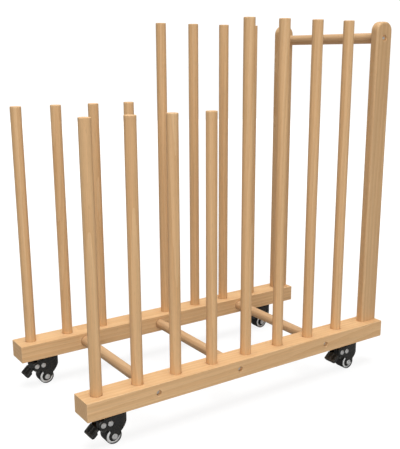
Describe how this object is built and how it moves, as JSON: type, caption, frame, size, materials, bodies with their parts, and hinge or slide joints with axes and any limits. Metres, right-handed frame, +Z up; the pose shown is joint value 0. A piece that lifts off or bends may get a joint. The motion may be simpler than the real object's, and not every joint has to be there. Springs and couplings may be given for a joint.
{
  "type": "art drying rack",
  "caption": "Wheeled wooden rack that dries painted canvases on edge between rows of upright dowels, with cross rods, a push handle and braked swivel casters.",
  "frame": {"origin": "on the floor, under the middle of the rack", "axes": "+X along the rails towards the handle, +Y from the front rail to the back rail, +Z up"},
  "size_m": [0.6708, 0.3344, 0.6877],
  "materials": {
    "rail_wood": "clear satin lacquer",
    "dowel_wood": "sanded, clear satin",
    "post_wood": "clear satin lacquer",
    "rod_wood": "sanded, clear satin",
    "screw_steel": "zinc plated",
    "stem_steel": "zinc plated",
    "rivet_steel": "dull zinc",
    "caster_black": "black satin",
    "wheel_rubber": "black tyre with a pale grey rim"
  },
  "bodies": {
    "frame": {"front_rail": "rail_wood", "front_dowel_1": "dowel_wood", "front_dowel_2": "dowel_wood", "front_dowel_3": "dowel_wood", "front_dowel_4": "dowel_wood", "front_dowel_5": "dowel_wood", "front_dowel_6": "dowel_wood", "front_dowel_7": "dowel_wood", "front_dowel_8": "dowel_wood", "front_post": "post_wood", "front_handle_screw": "screw_steel", "front_rod_screw_1": "screw_steel", "front_rod_screw_2": "screw_steel", "front_rod_screw_3": "screw_steel", "back_rail": "rail_wood", "back_dowel_1": "dowel_wood", "back_dowel_2": "dowel_wood", "back_dowel_3": "dowel_wood", "back_dowel_4": "dowel_wood", "back_dowel_5": "dowel_wood", "back_dowel_6": "dowel_wood", "back_dowel_7": "dowel_wood", "back_dowel_8": "dowel_wood", "back_post": "post_wood", "back_handle_screw": "screw_steel", "back_rod_screw_1": "screw_steel", "back_rod_screw_2": "screw_steel", "back_rod_screw_3": "screw_steel", "cross_rod_1": "rod_wood", "cross_rod_2": "rod_wood", "cross_rod_3": "rod_wood", "handle_rod": "rod_wood", "front_left_caster_stem": "stem_steel", "front_right_caster_stem": "stem_steel", "back_left_caster_stem": "stem_steel", "back_right_caster_stem": "stem_steel"},
    "front_left_fork": {"front_left_caster_fork": "caster_black", "front_left_caster_axle": "rivet_steel", "front_left_caster_pedal_rivet": "rivet_steel", "front_left_caster_spacer_rivet": "rivet_steel"},
    "front_left_wheel": {"front_left_caster_wheel": "wheel_rubber"},
    "front_left_pedal": {"front_left_caster_brake_pedal": "caster_black"},
    "front_right_fork": {"front_right_caster_fork": "caster_black", "front_right_caster_axle": "rivet_steel", "front_right_caster_pedal_rivet": "rivet_steel", "front_right_caster_spacer_rivet": "rivet_steel"},
    "front_right_wheel": {"front_right_caster_wheel": "wheel_rubber"},
    "front_right_pedal": {"front_right_caster_brake_pedal": "caster_black"},
    "back_left_fork": {"back_left_caster_fork": "caster_black", "back_left_caster_axle": "rivet_steel", "back_left_caster_pedal_rivet": "rivet_steel", "back_left_caster_spacer_rivet": "rivet_steel"},
    "back_left_wheel": {"back_left_caster_wheel": "wheel_rubber"},
    "back_left_pedal": {"back_left_caster_brake_pedal": "caster_black"},
    "back_right_fork": {"back_right_caster_fork": "caster_black", "back_right_caster_axle": "rivet_steel", "back_right_caster_pedal_rivet": "rivet_steel", "back_right_caster_spacer_rivet": "rivet_steel"},
    "back_right_wheel": {"back_right_caster_wheel": "wheel_rubber"},
    "back_right_pedal": {"back_right_caster_brake_pedal": "caster_black"}
  },
  "joints": [
    {"name": "front_left_swivel", "type": "hinge", "parent": "frame", "child": "front_left_fork", "pos_m": [-0.26895, -0.143, 0.0584], "axis": [0, 0, 1], "continuous": true},
    {"name": "front_left_wheel_spin", "type": "hinge", "parent": "front_left_fork", "child": "front_left_wheel", "pos_m": [-0.28315, -0.143, 0.0145], "axis": [0, 1, 0], "continuous": true},
    {"name": "front_left_brake", "type": "hinge", "parent": "front_left_fork", "child": "front_left_pedal", "pos_m": [-0.30275, -0.143, 0.0403], "axis": [0, -1, 0], "range_deg": [0, 14]},
    {"name": "front_right_swivel", "type": "hinge", "parent": "frame", "child": "front_right_fork", "pos_m": [0.26895, -0.143, 0.0584], "axis": [0, 0, 1], "continuous": true},
    {"name": "front_right_wheel_spin", "type": "hinge", "parent": "front_right_fork", "child": "front_right_wheel", "pos_m": [0.25475, -0.143, 0.0145], "axis": [0, 1, 0], "continuous": true},
    {"name": "front_right_brake", "type": "hinge", "parent": "front_right_fork", "child": "front_right_pedal", "pos_m": [0.23515, -0.143, 0.0403], "axis": [0, -1, 0], "range_deg": [0, 14]},
    {"name": "back_left_swivel", "type": "hinge", "parent": "frame", "child": "back_left_fork", "pos_m": [-0.26895, 0.143, 0.0584], "axis": [0, 0, 1], "continuous": true},
    {"name": "back_left_wheel_spin", "type": "hinge", "parent": "back_left_fork", "child": "back_left_wheel", "pos_m": [-0.28315, 0.143, 0.0145], "axis": [0, 1, 0], "continuous": true},
    {"name": "back_left_brake", "type": "hinge", "parent": "back_left_fork", "child": "back_left_pedal", "pos_m": [-0.30275, 0.143, 0.0403], "axis": [0, -1, 0], "range_deg": [0, 14]},
    {"name": "back_right_swivel", "type": "hinge", "parent": "frame", "child": "back_right_fork", "pos_m": [0.26895, 0.143, 0.0584], "axis": [0, 0, 1], "continuous": true},
    {"name": "back_right_wheel_spin", "type": "hinge", "parent": "back_right_fork", "child": "back_right_wheel", "pos_m": [0.25475, 0.143, 0.0145], "axis": [0, 1, 0], "continuous": true},
    {"name": "back_right_brake", "type": "hinge", "parent": "back_right_fork", "child": "back_right_pedal", "pos_m": [0.23515, 0.143, 0.0403], "axis": [0, -1, 0], "range_deg": [0, 14]}
  ]
}
